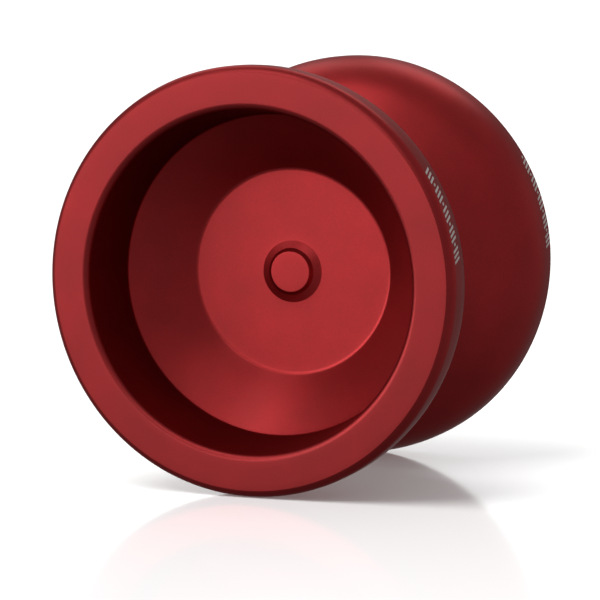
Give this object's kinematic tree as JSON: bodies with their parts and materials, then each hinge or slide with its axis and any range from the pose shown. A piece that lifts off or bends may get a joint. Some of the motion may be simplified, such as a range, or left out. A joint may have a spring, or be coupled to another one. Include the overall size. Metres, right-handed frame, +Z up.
{
  "type": "yo yo",
  "caption": "Metal yo yo with two flared, deep cupped halves on a ball bearing axle, with soft response pads and a raised hub in each cup.",
  "frame": {"origin": "centre of the bearing, on the mid-plane between the halves", "axes": "+Y along the axle from the front half to the rear half, +Z up when the yo yo stands on its rims"},
  "size_m": [0.0556, 0.0446, 0.0556],
  "materials": {
    "anodised_aluminium": "fine blasted, dyed red anodised",
    "axle_steel": "black oxide",
    "bearing_steel": "ground",
    "ball_steel": "polished",
    "cage_steel": "pressed",
    "shield_steel": "pressed",
    "snap_ring_steel": "spring wire",
    "silicone": "matt moulded"
  },
  "bodies": {
    "rear_side": {"rear_half": "anodised_aluminium", "axle": "axle_steel", "response_pad_rear": "silicone"},
    "bearing_core": {"inner_ring": "bearing_steel"},
    "front_side": {"front_half": "anodised_aluminium", "response_pad_front": "silicone"},
    "bearing_outer": {"outer_ring": "bearing_steel", "shield_front": "shield_steel", "shield_rear": "shield_steel", "snap_ring_front": "snap_ring_steel", "snap_ring_rear": "snap_ring_steel"},
    "ball_carrier": {"bearing_cage": "cage_steel"},
    "ball_01": {"ball_01": "ball_steel"},
    "ball_02": {"ball_02": "ball_steel"},
    "ball_03": {"ball_03": "ball_steel"},
    "ball_04": {"ball_04": "ball_steel"},
    "ball_05": {"ball_05": "ball_steel"},
    "ball_06": {"ball_06": "ball_steel"},
    "ball_07": {"ball_07": "ball_steel"},
    "ball_08": {"ball_08": "ball_steel"},
    "ball_09": {"ball_09": "ball_steel"},
    "ball_10": {"ball_10": "ball_steel"}
  },
  "joints": [
    {"name": "bearing_travel", "type": "slide", "parent": "rear_side", "child": "bearing_core", "axis": [0, -1, 0], "range_m": [0, 0.0049]},
    {"name": "front_half_unscrew", "type": "hinge", "parent": "bearing_core", "child": "front_side", "pos_m": [0, 0, 0], "axis": [0, -1, 0], "range_deg": [0, 2520]},
    {"name": "outer_ring_spin", "type": "hinge", "parent": "bearing_core", "child": "bearing_outer", "pos_m": [0, 0, 0], "axis": [0, 1, 0], "continuous": true},
    {"name": "cage_spin", "type": "hinge", "parent": "bearing_core", "child": "ball_carrier", "pos_m": [0, 0, 0], "axis": [0, 1, 0], "continuous": true},
    {"name": "ball_01_spin", "type": "hinge", "parent": "ball_carrier", "child": "ball_01", "pos_m": [0.00476, 0, 0], "axis": [0, 1, 0], "continuous": true},
    {"name": "ball_02_spin", "type": "hinge", "parent": "ball_carrier", "child": "ball_02", "pos_m": [0.00385, 0, 0.0028], "axis": [0, 1, 0], "continuous": true},
    {"name": "ball_03_spin", "type": "hinge", "parent": "ball_carrier", "child": "ball_03", "pos_m": [0.00147, 0, 0.00453], "axis": [0, 1, 0], "continuous": true},
    {"name": "ball_04_spin", "type": "hinge", "parent": "ball_carrier", "child": "ball_04", "pos_m": [-0.00147, 0, 0.00453], "axis": [0, 1, 0], "continuous": true},
    {"name": "ball_05_spin", "type": "hinge", "parent": "ball_carrier", "child": "ball_05", "pos_m": [-0.00385, 0, 0.0028], "axis": [0, 1, 0], "continuous": true},
    {"name": "ball_06_spin", "type": "hinge", "parent": "ball_carrier", "child": "ball_06", "pos_m": [-0.00476, 0, 0], "axis": [0, 1, 0], "continuous": true},
    {"name": "ball_07_spin", "type": "hinge", "parent": "ball_carrier", "child": "ball_07", "pos_m": [-0.00385, 0, -0.0028], "axis": [0, 1, 0], "continuous": true},
    {"name": "ball_08_spin", "type": "hinge", "parent": "ball_carrier", "child": "ball_08", "pos_m": [-0.00147, 0, -0.00453], "axis": [0, 1, 0], "continuous": true},
    {"name": "ball_09_spin", "type": "hinge", "parent": "ball_carrier", "child": "ball_09", "pos_m": [0.00147, 0, -0.00453], "axis": [0, 1, 0], "continuous": true},
    {"name": "ball_10_spin", "type": "hinge", "parent": "ball_carrier", "child": "ball_10", "pos_m": [0.00385, 0, -0.0028], "axis": [0, 1, 0], "continuous": true}
  ],
  "couplings": [
    {"joint": "bearing_travel", "follows": "front_half_unscrew", "m_per_rad": 0.00011141},
    {"joint": "cage_spin", "follows": "outer_ring_spin", "ratio": 0.58333},
    {"joint": "ball_01_spin", "follows": "outer_ring_spin", "ratio": 2.9167},
    {"joint": "ball_02_spin", "follows": "outer_ring_spin", "ratio": 2.9167},
    {"joint": "ball_03_spin", "follows": "outer_ring_spin", "ratio": 2.9167},
    {"joint": "ball_04_spin", "follows": "outer_ring_spin", "ratio": 2.9167},
    {"joint": "ball_05_spin", "follows": "outer_ring_spin", "ratio": 2.9167},
    {"joint": "ball_06_spin", "follows": "outer_ring_spin", "ratio": 2.9167},
    {"joint": "ball_07_spin", "follows": "outer_ring_spin", "ratio": 2.9167},
    {"joint": "ball_08_spin", "follows": "outer_ring_spin", "ratio": 2.9167},
    {"joint": "ball_09_spin", "follows": "outer_ring_spin", "ratio": 2.9167},
    {"joint": "ball_10_spin", "follows": "outer_ring_spin", "ratio": 2.9167}
  ]
}
